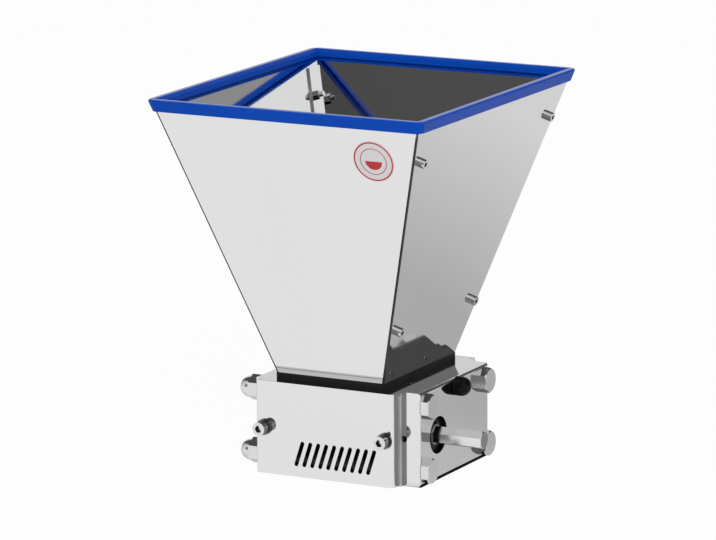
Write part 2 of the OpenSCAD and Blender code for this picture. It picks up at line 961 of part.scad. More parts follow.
module circlip_ring(x) {
    difference() {
        tube_x(x + seat_fit, x + circlip - seat_fit,
            shaft_r + circlip_rim, shaft_r - circlip_groove + seat_fit);
        translate([x - cut, -circlip_mouth / 2, 0])
            cube([circlip + 2 * cut, circlip_mouth, shaft_d]);
    }
}

module key_block(grow) {
    translate([gear_in - grow, -key_width / 2 - grow, shaft_r - key_depth - grow])
        cube([gear_face + 2 * grow, key_width + 2 * grow, key_height + 2 * grow]);
}

module drive_shaft() {
    hex_start = gear_out + sliding_fit + 1.6 * circlip;
    color(steel)
        at_mill()
            at_yz(drive_y, axis_height)
                difference() {
                    union() {
                        rod_x(-drive_left_end, hex_start, shaft_r);
                        rotate([hex_turn, 0, 0])
                            intersection() {
                                hex_x(hex_start - cut, shaft_end, hex_flats);
                                union() {
                                    rod_x(hex_start - 2 * cut, shaft_end - hex_chamfer, hex_flats);
                                    translate([shaft_end - hex_chamfer, 0, 0])
                                        rotate([0, 90, 0])
                                            cylinder(h = hex_chamfer, r1 = hex_r(hex_flats),
                                                r2 = hex_r(hex_flats) - hex_chamfer);
                                }
                            }
                    }
                    circlip_cut(-plate_outer - free_gap - circlip);
                    circlip_cut(gear_out + sliding_fit);
                    key_block(seat_fit);
                }
}

module idle_shaft() {
    color(steel)
        at_mill()
            at_yz(idle_y, axis_height)
                difference() {
                    rod_x(-idle_left_end, idle_right_end, shaft_r);
                    circlip_cut(-flange_out - free_gap - circlip);
                    circlip_cut(gear_out + sliding_fit);
                    key_block(seat_fit);
                }
}

module drive_circlips() {
    color(dark)
        at_mill()
            at_yz(drive_y, axis_height) {
                circlip_ring(-plate_outer - free_gap - circlip);
                circlip_ring(gear_out + sliding_fit);
            }
}

module idle_circlips() {
    color(dark)
        at_mill()
            at_yz(idle_y, axis_height) {
                circlip_ring(-flange_out - free_gap - circlip);
                circlip_ring(gear_out + sliding_fit);
            }
}

// Outline of an involute gear with its first tooth on +X
module gear_outline() {
    radii = [for (i = [0 : flank_steps]) base_r + (tip_r - base_r) * i / flank_steps];
    polygon([for (t = [0 : gear_teeth - 1])
        let (middle = t * 360 / gear_teeth)
        each concat(
            [polar(root_r, middle - tooth_half(base_r))],
            [for (r = radii) polar(r, middle - tooth_half(r))],
            [for (i = [flank_steps : -1 : 0]) polar(radii[i], middle + tooth_half(radii[i]))],
            [polar(root_r, middle + tooth_half(base_r))]
        )]);
}

module spur_gear() {
    difference() {
        union() {
            profile_x(gear_in, gear_out)
                gear_outline();
            rod_x(plate_outer + free_gap, gear_in + cut, gear_hub_r);
        }
        rod_x(plate_outer, gear_out + cut, shaft_r + seat_fit);
        key_block(seat_fit);
        translate([0, -key_width / 2 - seat_fit, 0])
            translate([plate_outer, 0, 0])
                cube([gear_out - plate_outer + cut, key_width + 2 * seat_fit,
                    shaft_r - key_depth + key_height + seat_fit]);
    }
}

module drive_gear() {
    color(steel)
        at_mill()
            at_yz(drive_y, axis_height)
                spur_gear();
}

module idle_gear() {
    color(steel)
        at_mill()
            at_yz(idle_y, axis_height)
                spur_gear();
}

module drive_key() {
    color(dark)
        at_mill()
            at_yz(drive_y, axis_height)
                key_block(0);
}

module idle_key() {
    color(dark)
        at_mill()
            at_yz(idle_y, axis_height)
                key_block(0);
}

// Bearing carriage: a block in the plate's window, a flange outside it and a fork for the eccentric pin
module carriage() {
    difference() {
        union() {
            at_yz(idle_y, axis_height) {
                profile_x(bearing_in, flange_out)
                    square(2 * carriage_half, center = true);
                profile_x(flange_in, flange_out)
                    square(2 * [carriage_half / 2, carriage_half + carriage_lip], center = true);
            }
            translate([flange_in, adjuster_setback - fork_half, axis_height])
                cube([carriage_flange, 2 * fork_half, fork_top - axis_height]);
        }
        at_yz(idle_y, axis_height) {
            rod_x(bearing_in - cut, bearing_in + bearing_width, bearing_d / 2 + seat_fit);
            rod_x(bearing_in - cut, flange_out + cut, gear_hub_r + cut);
        }
        translate([flange_in - cut, adjuster_setback - pin_d / 2 - fork_slack,
            adjuster_z - pin_d / 2 - fork_slack])
            cube([carriage_flange + 2 * cut, pin_d + 2 * fork_slack, body_height]);
    }
}

module right_carriage() {
    color(steel)
        at_mill()
            carriage();
}

module left_carriage() {
    color(steel)
        at_mill()
            mirror([1, 0, 0])
                carriage();
}

// Spindle with an inner journal, an eccentric pin in the carriage's fork and a stem for the knob
module spindle(stem_end, collar_at) {
    at_yz(adjuster_setback, adjuster_z) {
        rod_x(plate_outer - journal_depth, flange_in, pin_d / 2);
        at_yz(0, eccentric)
            rod_x(plate_outer + sliding_fit / 2, spindle_step + overlap, pin_d / 2);
        rod_x(spindle_step, stem_end, spindle_d / 2);
        rod_x(collar_at - collar_thickness, collar_at, collar_r);
    }
}

module knob(seat, stem_end) {
    dome_r = knob_d / 2;
    at_yz(adjuster_setback, adjuster_z)
        difference() {
            union() {
                rod_x(seat, seat + knob_height - dome_r, dome_r);
                translate([seat + knob_height - dome_r, 0, 0])
                    sphere(dome_r);
            }
            translate([seat - knob_d, -knob_d, -knob_d])
                cube([knob_d, 2 * knob_d, 2 * knob_d]);
            rod_x(seat - cut, stem_end + seat_fit, spindle_d / 2 + seat_fit);
        }
}

right_knob_seat = gear_cover_face + free_gap;
left_knob_seat = spindle_step + collar_thickness + sliding_fit;
stem_in_knob = knob_height * 0.6;

module right_spindle() {
    color(steel)
        at_mill()
            spindle(right_knob_seat + stem_in_knob, gear_cover_inside - free_gap);
}

module left_spindle() {
    color(steel)
        at_mill()
            mirror([1, 0, 0])
                spindle(left_knob_seat + stem_in_knob, spindle_step + collar_thickness);
}

module right_knob() {
    color("#151515")
        at_mill()
            knob(right_knob_seat, right_knob_seat + stem_in_knob);
}

module left_knob() {
    color("#151515")
        at_mill()
            mirror([1, 0, 0])
                knob(left_knob_seat, left_knob_seat + stem_in_knob);
}

left_side_plate();
right_side_plate();
front_cover();
rear_cover();
cover_screws();
cover_washers();
top_plate();
top_plate_screws();
hopper_seal();
hopper_front_panel();
hopper_back_panel();
hopper_left_panel();
hopper_right_panel();
seam_screws();
seam_nuts();
hopper_base_screws();
rim_trim();
round_sticker();
gear_cover();
tie_bolts();
dome_nuts();
tie_washers();
spacer_tubes();
cover_spacers();
drive_bearings();
drive_roller();
drive_shaft();
drive_gear();
drive_key();
drive_circlips();
idle_bearings();
idle_roller();
idle_shaft();
idle_gear();
idle_key();
idle_circlips();
left_carriage();
right_carriage();
left_spindle();
right_spindle();
left_knob();
right_knob();
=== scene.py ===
"""Finishes, light and camera for a roller malt mill with a polished hopper, laid out as an add-on."""

import math

import bmesh
import bpy
from bpy.props import FloatProperty, FloatVectorProperty, PointerProperty
from mathutils import Matrix, Vector
from mathutils.bvhtree import BVHTree


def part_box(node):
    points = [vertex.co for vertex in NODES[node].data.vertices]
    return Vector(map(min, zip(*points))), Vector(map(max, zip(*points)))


bl_info = {
    "name": "Malt mill finishes",
    "version": (1, 0, 0),
    "blender": (4, 5, 0),
    "location": "View3D > Sidebar > Mill",
    "description": "Gives a roller malt mill its metal, trim and sticker finishes, its stage and its camera",
    "category": "Object",
}

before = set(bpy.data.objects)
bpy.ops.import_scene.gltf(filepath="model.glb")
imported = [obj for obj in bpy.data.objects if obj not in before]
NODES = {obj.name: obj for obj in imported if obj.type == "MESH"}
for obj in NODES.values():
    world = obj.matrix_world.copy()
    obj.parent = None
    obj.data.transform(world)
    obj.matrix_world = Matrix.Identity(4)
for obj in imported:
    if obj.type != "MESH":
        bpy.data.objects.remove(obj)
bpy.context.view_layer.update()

# The hopper's panels, each with the side that it is on.
HOPPER_SHEETS = {
    "hopper_front_panel": Vector((0, -1, 0)),
    "hopper_back_panel": Vector((0, 1, 0)),
    "hopper_left_panel": Vector((-1, 0, 0)),
    "hopper_right_panel": Vector((1, 0, 0)),
}
FLANGED_PANELS = ("hopper_front_panel", "hopper_back_panel")
SIDE_PANELS = ("hopper_left_panel", "hopper_right_panel")
BODY_SHEETS = ("front_cover", "rear_cover", "gear_cover", "top_plate")
SIDE_PLATES = ("left_side_plate", "right_side_plate")
FASTENERS = (
    "cover_screws", "top_plate_screws", "seam_screws", "seam_nuts", "hopper_base_screws",
    "tie_bolts", "dome_nuts", "tie_washers",
)
SOCKET_SCREWS = ("cover_screws", "seam_screws")
SPACERS = ("spacer_tubes", "cover_spacers")
SHAFTS = ("drive_shaft", "idle_shaft")
SPINDLES = ("left_spindle", "right_spindle")
ROLLERS = ("drive_roller", "idle_roller")
GEARS = ("drive_gear", "idle_gear", "drive_key", "idle_key", "drive_circlips", "idle_circlips")
BEARINGS = ("drive_bearings", "idle_bearings")
CARRIAGES = ("left_carriage", "right_carriage")
KNOBS = ("left_knob", "right_knob")

# A face looks along a direction if their cosine is over FACING, and lies across it if it is under ACROSS.
FACING = 0.9
ACROSS = 0.5

# The gear cover's shaft hole, whose wall is painted near black as shade, lies within this reach of the
# shaft's axis.
SHAFT_HOLE_REACH = 0.016

# Faces along a flanged panel that lie this far behind its outer face are the free edges of its flanges.
FLANGE_DEPTH = 0.008

# A face that meets its own piece again within this reach lies in a socket. The search starts just off
# the face.
SOCKET_REACH = 0.0055
SOCKET_START = 0.0001

# Shares of the bare metal's colour that are left where it is cut by laser, sheared or faced.
# The laser-cut share is also painted on the wall of the gear cover's shaft hole as its shade.
LASER_EDGE_AND_HOLE_SHADE_SHARE = 0.12
SHEARED_EDGE_SHARE = 0.5
FACED_END_SHARE = 0.5

# A grain of the same size along all axes.
EVEN = (1, 1, 1)

# Most values of a noise lie in this range.
NOISE_RANGE = (0.35, 0.65)

# Roughness of the most smudged places, as a multiple of the cleanest, and strength of the relief.
METAL_SMUDGING, METAL_RELIEF = 1.6, 0.3
MOULDED_SMUDGING, MOULDED_RELIEF = 1.3, 0.25

# Size of the smudges and share of the colour that is left there, on plastic and rubber.
MOULDED_SMUDGE_SIZE, MOULDED_SHADE = 30, 0.8

# Start and end of the sticker's rings and reach of its half disc, as shares of its radius.
STICKER_RINGS = ((0.62, 0.66), (0.9, 0.97))
STICKER_DISC = 0.42

# The floor's size, its place under the part's base, its painted shadow under the body and its open colour.
FLOOR_SIZE = 12
FLOOR_HEIGHT = -0.0002
FLOOR_PAINTED_SHADOW = (0.04, 0.04, 0.04)
FLOOR_OPEN = (0.85, 0.85, 0.85)

# Shares of the floor's plain white that direct rays and mirrored rays see.
DIRECT_SHARE = 0.97
MIRRORED_SHARE = 0.85

# The floor's painted shadow reaches this far beside the gear cover, as a dark contact line where it meets the
# floor.
CONTACT_SHADOW_WIDTH = 0.0007

# On the left the floor's painted shadow ends this far inside the body.
FOOTPRINT_INSET = 0.004

# Middle of the floor's painted shade as metal mirrors it, the distances it fades between, and its levels
# there.
SHADE_PLACE = (0.12, 0.22, 0)
SHADE_REACH = (0.05, 0.45)
SHADE_LEVELS = (0.48, 0.82)

# Between these depths the mirrored floor goes from fully lit in front to its painted shade.
LIT_FRONT = (-0.07, 0)

# Level of the floor where metal mirrors it by way of other metal, a painted shade for the gaps beside the
# bolt heads.
TWICE_MIRRORED_LEVEL = 0.19

# Level of the room that the metal mirrors, by the height of the direction.
ROOM_LEVELS = ((0.0, 0.62), (0.12, 0.40), (0.30, 0.10))

# Soft boxes that the metal mirrors: the way to each, the cosines at its edge and core, and its level.
SOFT_BOXES = (
    ((0.49, -0.65, 0.58), 0.945, 0.985, 1.35),
    ((0.83, -0.35, 0.43), 0.86, 0.95, 1.0),
    ((0.25, 0.0, 0.97), 0.86, 0.96, 0.9),
    ((-1, -0.35, 0.25), 0.8, 0.95, 0.9),
    ((-0.45, -0.59, 0.67), 0.94, 0.975, 0.95),
    ((-0.45, 0.82, 0.35), 0.85, 0.95, 0.9),
)

KEY_PLACE = (1.2, -1.7, 1.6)
KEY_AIM = (0, 0, 0.15)
KEY_SIZE = 1.0

# The mill's middle plane, which the camera is placed from.
MILL_X = (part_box("front_cover")[0][0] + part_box("front_cover")[1][0]) / 2

# Width of the camera's sensor in millimetres, and the nearest and farthest distances that it sees.
SENSOR_WIDTH = 36
CLIP_START = 0.1
CLIP_END = 100


class MillFinishes(bpy.types.PropertyGroup):
    """Colours and gloss of the mill's finishes."""

    sheet_colour: FloatVectorProperty(
        name="Polished sheet", description="Colour of the mirror-polished sheet", subtype="COLOR",
        default=(0.82, 0.82, 0.825), min=0, max=1)
    sheet_roughness: FloatProperty(
        name="Sheet roughness", description="Roughness of the polished sheet where it is cleanest",
        subtype="FACTOR", default=0.05, min=0, max=1)
    plate_colour: FloatVectorProperty(
        name="Side plates", description="Colour of the ground side plates", subtype="COLOR",
        default=(0.90, 0.90, 0.91), min=0, max=1)
    fastener_colour: FloatVectorProperty(
        name="Fasteners", description="Colour of the screws, bolts and nuts", subtype="COLOR",
        default=(0.79, 0.79, 0.79), min=0, max=1)
    # Partly the washers' own tone and partly painted shade under the screw heads.
    washer_and_shade_colour: FloatVectorProperty(
        name="Cover washers", description="Colour of the plain and spring washers", subtype="COLOR",
        default=(0.26, 0.26, 0.26), min=0, max=1)
    machined_colour: FloatVectorProperty(
        name="Machined steel", description="Colour of the rollers and bearings", subtype="COLOR",
        default=(0.52, 0.52, 0.52), min=0, max=1)
    shaft_colour: FloatVectorProperty(
        name="Shafts", description="Colour of the bare shafts and spindles", subtype="COLOR",
        default=(0.84, 0.84, 0.84), min=0, max=1)
    # Near black of the gears and spacers, partly painted shade inside the body, and the painted shade in the
    # screw sockets.
    blackened_and_shade_colour: FloatVectorProperty(
        name="Blackened steel", description="Colour of the gears, spacers and screw sockets", subtype="COLOR",
        default=(0.07, 0.07, 0.072), min=0, max=1)
    aluminium_colour: FloatVectorProperty(
        name="Carriages", description="Colour of the milled carriages", subtype="COLOR",
        default=(0.68, 0.69, 0.70), min=0, max=1)
    trim_colour: FloatVectorProperty(
        name="Rim trim", description="Colour of the glossy edge trim", subtype="COLOR",
        default=(0.0005, 0.085, 0.62), min=0, max=1)
    knob_colour: FloatVectorProperty(
        name="Knobs", description="Colour of the adjuster knobs", subtype="COLOR",
        default=(0.004, 0.004, 0.0045), min=0, max=1)
    # The seal's near black is painted shade for the gap under the hopper.
    seal_shade_colour: FloatVectorProperty(
        name="Seal", description="Colour of the rubber seal under the hopper", subtype="COLOR",
        default=(0.010, 0.010, 0.010), min=0, max=1)
    film_colour: FloatVectorProperty(
        name="Sticker", description="Ground colour of the round sticker", subtype="COLOR",
        default=(0.86, 0.86, 0.86), min=0, max=1)
    ring_colour: FloatVectorProperty(
        name="Sticker print", description="Colour of the sticker's rings and half disc", subtype="COLOR",
        default=(0.62, 0.02, 0.03), min=0, max=1)


class MillStage(bpy.types.PropertyGroup):
    """Light levels and the camera."""

    key_power: FloatProperty(
        name="Key light", description="Power of the soft key light", unit="POWER", default=22, min=0)
    fill_level: FloatProperty(
        name="Fill", description="Strength of the surroundings as a light", default=0.55, min=0)
    lens: FloatProperty(
        name="Lens", description="Focal length of the camera", unit="CAMERA", default=250.74, min=1)
    camera_place: FloatVectorProperty(
        name="Camera", description="Place of the camera from the mill's middle plane", subtype="TRANSLATION",
        unit="LENGTH", default=(1.66897, -3.20300, 0.90578))
    camera_turn: FloatVectorProperty(
        name="Camera turn", description="Turn round the mill, tilt down and roll of the camera",
        subtype="EULER", unit="ROTATION", default=(0.482014, 0.207664, -0.006447))


def feed(tree, value, socket):
    """Link a node's output to a socket, or set the socket to a plain value."""
    if isinstance(value, bpy.types.NodeSocket):
        tree.links.new(value, socket)
    else:
        socket.default_value = value


def math_node(tree, operation, *values):
    node = tree.nodes.new("ShaderNodeMath")
    node.operation = operation
    for value, socket in zip(values, node.inputs):
        feed(tree, value, socket)
    return node.outputs[0]


def vector_math(tree, operation, *vectors):
    node = tree.nodes.new("ShaderNodeVectorMath")
    node.operation = operation
    for vector, socket in zip(vectors, node.inputs):
        feed(tree, vector, socket)
    return node.outputs


def split_axes(tree, vector):
    split = tree.nodes.new("ShaderNodeSeparateXYZ")
    tree.links.new(vector, split.inputs[0])
    return split.outputs


def map_range(tree, value, source, target, interpolation="LINEAR"):
    spread = tree.nodes.new("ShaderNodeMapRange")
    spread.interpolation_type = interpolation
    spread.inputs["From Min"].default_value, spread.inputs["From Max"].default_value = source
    spread.inputs["To Min"].default_value, spread.inputs["To Max"].default_value = target
    tree.links.new(value, spread.inputs["Value"])
    return spread.outputs["Result"]


def mix_colours(tree, mask, first, second):
    """Colour between two others, each a node's output or a plain colour."""
    mix = tree.nodes.new("ShaderNodeMix")
    mix.data_type = "RGBA"
    colours = {"A": first, "B": second}
    for socket in mix.inputs:
        if socket.type == "RGBA":
            feed(tree, colours[socket.name], socket)
    tree.links.new(mask, mix.inputs["Factor"])
    return next(socket for socket in mix.outputs if socket.type == "RGBA")


def mix_shaders(tree, mask, first, second):
    mix = tree.nodes.new("ShaderNodeMixShader")
    tree.links.new(mask, mix.inputs["Fac"])
    tree.links.new(first, mix.inputs[1])
    tree.links.new(second, mix.inputs[2])
    return mix.outputs[0]


def set_stops(ramp, stops):
    elements = ramp.color_ramp.elements
    elements[0].position, elements[0].color = stops[0]
    elements[1].position, elements[1].color = stops[-1]
    for position, colour in stops[1:-1]:
        elements.new(position).color = colour


def object_vector(tree, scale=EVEN, shift=(0, 0, 0)):
    place = tree.nodes.new("ShaderNodeTexCoord")
    mapping = tree.nodes.new("ShaderNodeMapping")
    mapping.inputs["Location"].default_value = shift
    mapping.inputs["Scale"].default_value = scale
    tree.links.new(place.outputs["Object"], mapping.inputs["Vector"])
    return mapping.outputs["Vector"]


def bump(tree, height, strength, distance):
    node = tree.nodes.new("ShaderNodeBump")
    node.inputs["Strength"].default_value = strength
    node.inputs["Distance"].default_value = distance
    tree.links.new(height, node.inputs["Height"])
    return node.outputs["Normal"]


def group_socket(tree, name, direction, kind="NodeSocketFloat", default=None):
    socket = tree.interface.new_socket(name=name, in_out=direction, socket_type=kind)
    if default is not None:
        socket.default_value = default


def metal_group():
    """Grain and smudges, as two masks from a fine and a broad noise."""
    name = "worked metal"
    if name in bpy.data.node_groups:
        return bpy.data.node_groups[name]
    tree = bpy.data.node_groups.new(name, "ShaderNodeTree")
    group_socket(tree, "Vector", "INPUT", "NodeSocketVector")
    group_socket(tree, "Fineness", "INPUT", default=400)
    group_socket(tree, "Smudge size", "INPUT", default=12)
    group_socket(tree, "Grain", "OUTPUT")
    group_socket(tree, "Smudge", "OUTPUT")
    start = tree.nodes.new("NodeGroupInput")
    end = tree.nodes.new("NodeGroupOutput")
    for mask, scale, detail, roughness in (("Grain", "Fineness", 4, 0.6), ("Smudge", "Smudge size", 3, 0.5)):
        noise = tree.nodes.new("ShaderNodeTexNoise")
        noise.inputs["Detail"].default_value = detail
        noise.inputs["Roughness"].default_value = roughness
        tree.links.new(start.outputs["Vector"], noise.inputs["Vector"])
        tree.links.new(start.outputs[scale], noise.inputs["Scale"])
        tree.links.new(noise.outputs["Fac"], end.inputs[mask])
    return tree


def new_material(name):
    material = bpy.data.materials.new(name)
    material.use_nodes = True
    tree = material.node_tree
    return material, tree, tree.nodes["Principled BSDF"]


def scaled(colour, share):
    return tuple(channel * share for channel in colour)


def grained(name, colour, shade, roughness, smudging, fineness, smudge_size, scale, relief, depth):
    """Material with smudges in its colour and gloss, and a fine grain in its relief."""
    material, tree, shader = new_material(name)
    masks = tree.nodes.new("ShaderNodeGroup")
    masks.node_tree = metal_group()
    masks.inputs["Fineness"].default_value = fineness
    masks.inputs["Smudge size"].default_value = smudge_size
    tree.links.new(object_vector(tree, scale), masks.inputs["Vector"])
    smudge = masks.outputs["Smudge"]
    smudged_colour = mix_colours(tree, smudge, (*scaled(colour, shade), 1), (*colour, 1))
    smudged_gloss = map_range(tree, smudge, NOISE_RANGE, (roughness, roughness * smudging))
    tree.links.new(smudged_colour, shader.inputs["Base Color"])
    tree.links.new(smudged_gloss, shader.inputs["Roughness"])
    tree.links.new(bump(tree, masks.outputs["Grain"], relief, depth), shader.inputs["Normal"])
    return material, shader


def worked_metal(name, colour, roughness, fineness, smudge_size, scale=EVEN, depth=0.00002, shade=0.9):
    """Metal whose grain runs along the axes that are scaled least, with faint smudges in its gloss."""
    material, shader = grained(name, colour, shade, roughness, METAL_SMUDGING, fineness, smudge_size, scale,
                               METAL_RELIEF, depth)
    shader.inputs["Metallic"].default_value = 1.0
    return material


def moulded(name, colour, roughness, fineness, depth, specular=0.5):
    """Plastic or rubber with a fine moulded skin."""
    material, shader = grained(name, colour, MOULDED_SHADE, roughness, MOULDED_SMUDGING, fineness,
                               MOULDED_SMUDGE_SIZE, EVEN, MOULDED_RELIEF, depth)
    shader.inputs["Specular IOR Level"].default_value = specular
    return material


def paint(names, material):
    for name in names:
        mesh = NODES[name].data
        mesh.materials.clear()
        mesh.materials.append(material)


def paint_faces(name, material, chosen):
    """Give the faces that a test picks a second material."""
    mesh = NODES[name].data
    mesh.materials.append(material)
    slot = len(mesh.materials) - 1
    for face in mesh.polygons:
        if chosen(face):
            face.material_index = slot


def socket_test(name):
    """Test that picks the walls of a node's hex sockets."""
    mesh = NODES[name].data
    corners = [vertex.co for vertex in mesh.vertices]
    tree = BVHTree.FromPolygons(corners, [list(face.vertices) for face in mesh.polygons])

    def in_socket(face):
        start = face.center + face.normal * SOCKET_START
        return tree.ray_cast(start, face.normal, SOCKET_REACH)[0] is not None

    return in_socket


def sheet_outward(name):
    """Outward direction of a leaning hopper panel, from the largest face on its outer side."""
    outer = [face for face in NODES[name].data.polygons if face.normal.dot(HOPPER_SHEETS[name]) > ACROSS]
    return max(outer, key=lambda face: face.area).normal.copy()


class MILL_OT_sheet(bpy.types.Operator):
    """Mirror-polished stainless sheet of the hopper, the covers and the top plate"""
    bl_idname = "mill.sheet"
    bl_label = "Polished sheet"

    def execute(self, context):
        look = context.scene.mill_finishes
        polish = {"colour": look.sheet_colour, "roughness": look.sheet_roughness, "fineness": 300,
                  "depth": 0.000004, "shade": 0.95}
        hopper = worked_metal("polished hopper sheet", smudge_size=9, scale=(1, 1, 0.25), **polish)
        paint(HOPPER_SHEETS, hopper)
        edge = worked_metal("laser-cut edge and painted hole shade", scaled(look.sheet_colour, LASER_EDGE_AND_HOLE_SHADE_SHARE),
                            roughness=0.45, fineness=900, smudge_size=60)
        for name in SIDE_PANELS:
            outward = sheet_outward(name)
            paint_faces(name, edge, lambda face: abs(face.normal.dot(outward)) < ACROSS)
        flange_edge = worked_metal("sheared flange edge", scaled(look.sheet_colour, SHEARED_EDGE_SHARE),
                                   roughness=0.3, fineness=900, smudge_size=60)
        for name in FLANGED_PANELS:
            outward = sheet_outward(name)
            face_plane = max(vertex.co.dot(outward) for vertex in NODES[name].data.vertices)
            paint_faces(name, flange_edge, lambda face: abs(face.normal.dot(outward)) > FACING
                        and face_plane - face.center.dot(outward) > FLANGE_DEPTH)
        body = worked_metal("polished cover sheet", smudge_size=14, scale=(0.25, 0.25, 1), **polish)
        paint(BODY_SHEETS, body)
        # The shaft hole's wall gets the dark cut-edge colour, which also stands as painted shade in the hole.
        axis = sum((Vector(corner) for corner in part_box("drive_shaft")), Vector()) / 2
        paint_faces("gear_cover", edge, lambda face: abs(face.normal.x) < ACROSS
                    and (face.center - axis).yz.length < SHAFT_HOLE_REACH)
        return {"FINISHED"}


class MILL_OT_plates(bpy.types.Operator):
    """Ground steel side plates"""
    bl_idname = "mill.plates"
    bl_label = "Side plates"

    def execute(self, context):
        look = context.scene.mill_finishes
        ground = worked_metal("ground plate steel", look.plate_colour, roughness=0.3, fineness=900,
                              smudge_size=20, scale=(1, 0.05, 1))
        paint(SIDE_PLATES, ground)
        return {"FINISHED"}


class MILL_OT_fasteners(bpy.types.Operator):
    """Bright screws, bolts and nuts with painted shade in their sockets, and cover washers darkened partly as
    painted shade
    """
    bl_idname = "mill.fasteners"
    bl_label = "Fasteners"

    def execute(self, context):
        look = context.scene.mill_finishes
        bright = worked_metal("bright fastener steel", look.fastener_colour, roughness=0.09, fineness=500,
                              smudge_size=90)
        paint(FASTENERS, bright)
        # The cover washers are dark partly in their own tone and partly as painted shade under the screw
        # heads.
        dark_washer = worked_metal("dark washer steel with painted shade", look.washer_and_shade_colour, roughness=0.22, fineness=700,
                              smudge_size=90)
        paint(("cover_washers",), dark_washer)
        # The walls of the screw sockets are painted near black as the shade inside them.
        socket = worked_metal("painted shade in screw sockets", look.blackened_and_shade_colour, roughness=0.4, fineness=900,
                              smudge_size=60)
        for name in SOCKET_SCREWS:
            paint_faces(name, socket, socket_test(name))
        return {"FINISHED"}


class MILL_OT_running_gear(bpy.types.Operator):
    """Shafts, spindles, rollers, gears, spacers and bearings"""
    bl_idname = "mill.running_gear"
    bl_label = "Running gear"

    def execute(self, context):
        look = context.scene.mill_finishes
        turned = worked_metal("turned shaft steel", look.shaft_colour, roughness=0.14, fineness=1500,
                              smudge_size=40, scale=(1, 0.1, 0.1))
        paint(SHAFTS + SPINDLES, turned)
        faced = worked_metal("faced shaft end", scaled(look.shaft_colour, FACED_END_SHARE),
                             roughness=0.35, fineness=900, smudge_size=60)
        for name in SHAFTS:
            paint_faces(name, faced, lambda face: abs(face.normal.x) > FACING)
        fluted = worked_metal("fluted roller steel", look.machined_colour, roughness=0.26, fineness=900,
                              smudge_size=25, scale=(0.05, 1, 1))
        paint(ROLLERS, fluted)
        # The gears and spacers are near black partly as blackened steel and partly as painted shade inside
        # the body.
        gear = worked_metal("blackened gear steel and inner shade", look.blackened_and_shade_colour, roughness=0.4, fineness=900,
                            smudge_size=60, scale=(0.1, 1, 1))
        paint(GEARS, gear)
        spacer = worked_metal("blackened spacer steel and inner shade", look.blackened_and_shade_colour, roughness=0.35, fineness=900,
                              smudge_size=60, scale=(0.1, 1, 1))
        paint(SPACERS, spacer)
        bearing = worked_metal("bearing steel", look.machined_colour, roughness=0.18, fineness=900,
                               smudge_size=60)
        paint(BEARINGS, bearing)
        return {"FINISHED"}


class MILL_OT_carriages(bpy.types.Operator):
    """Milled carriages that hold the second roller"""
    bl_idname = "mill.carriages"
    bl_label = "Carriages"

    def execute(self, context):
        look = context.scene.mill_finishes
        milled = worked_metal("milled aluminium", look.aluminium_colour, roughness=0.3, fineness=1200,
                              smudge_size=40, scale=(1, 1, 0.08))
        paint(CARRIAGES, milled)
        return {"FINISHED"}


class MILL_OT_rim_trim(bpy.types.Operator):
    """Glossy trim on the hopper's rim"""
    bl_idname = "mill.rim_trim"
    bl_label = "Rim trim"

    def execute(self, context):
        look = context.scene.mill_finishes
        trim = moulded("glossy blue trim", look.trim_colour, roughness=0.28, fineness=700, depth=0.00002,
                       specular=0.1)
        paint(("rim_trim",), trim)
        crown = moulded("polished trim crown", look.trim_colour, roughness=0.12, fineness=700, depth=0.00002)
        paint_faces("rim_trim", crown, lambda face: face.normal.z > FACING)
        return {"FINISHED"}


class MILL_OT_knobs(bpy.types.Operator):
    """Black knobs of the gap adjuster"""
    bl_idname = "mill.knobs"
    bl_label = "Knobs"

    def execute(self, context):
        look = context.scene.mill_finishes
        knob = moulded("glossy black knob", look.knob_colour, roughness=0.25, fineness=900, depth=0.00002,
                       specular=0.15)
        paint(KNOBS, knob)
        return {"FINISHED"}


class MILL_OT_seal(bpy.types.Operator):
    """Black seal under the hopper, painted near black as the shade in the gap there"""
    bl_idname = "mill.seal"
    bl_label = "Seal"

    def execute(self, context):
        look = context.scene.mill_finishes
        # The seal is painted near black as the shade in the gap under the hopper.
        rubber = moulded("black rubber", look.seal_shade_colour, roughness=0.5, fineness=1200, depth=0.00005,
                         specular=0.3)
        paint(("hopper_seal",), rubber)
        return {"FINISHED"}


class MILL_OT_sticker(bpy.types.Operator):
    """Round film sticker with plain rings and a half disc"""
    bl_idname = "mill.sticker"
    bl_label = "Sticker"

    def execute(self, context):
        look = context.scene.mill_finishes
        material, tree, shader = new_material("printed film")
        low, high = (Vector(corner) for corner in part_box("round_sticker"))
        centre = (low + high) / 2
        scale = 2 / (high.x - low.x)
        vector = object_vector(tree, (scale, scale, scale), shift=tuple(-centre * scale))
        distance = vector_math(tree, "LENGTH", vector)["Value"]
        film = (*look.film_colour, 1)
        ring = (*look.ring_colour, 1)
        stops = [(0.0, film)]
        for start, end in STICKER_RINGS:
            stops += [(start, ring), (end, film)]
        rings = tree.nodes.new("ShaderNodeValToRGB")
        rings.color_ramp.interpolation = "CONSTANT"
        set_stops(rings, stops)
        tree.links.new(distance, rings.inputs["Fac"])
        inner = math_node(tree, "LESS_THAN", distance, STICKER_DISC)
        lower = math_node(tree, "LESS_THAN", split_axes(tree, vector)["Z"], 0)
        half_disc = math_node(tree, "MULTIPLY", inner, lower)
        print_colour = mix_colours(tree, half_disc, rings.outputs["Color"], ring)
        tree.links.new(print_colour, shader.inputs["Base Color"])
        shader.inputs["Roughness"].default_value = 0.35
        paint(("round_sticker",), material)
        return {"FINISHED"}


def direct_ray(tree, path):
    """One for rays that come straight from the camera or through something clear, nought for others."""
    return math_node(tree, "MAXIMUM", path["Is Camera Ray"], path["Is Transmission Ray"])


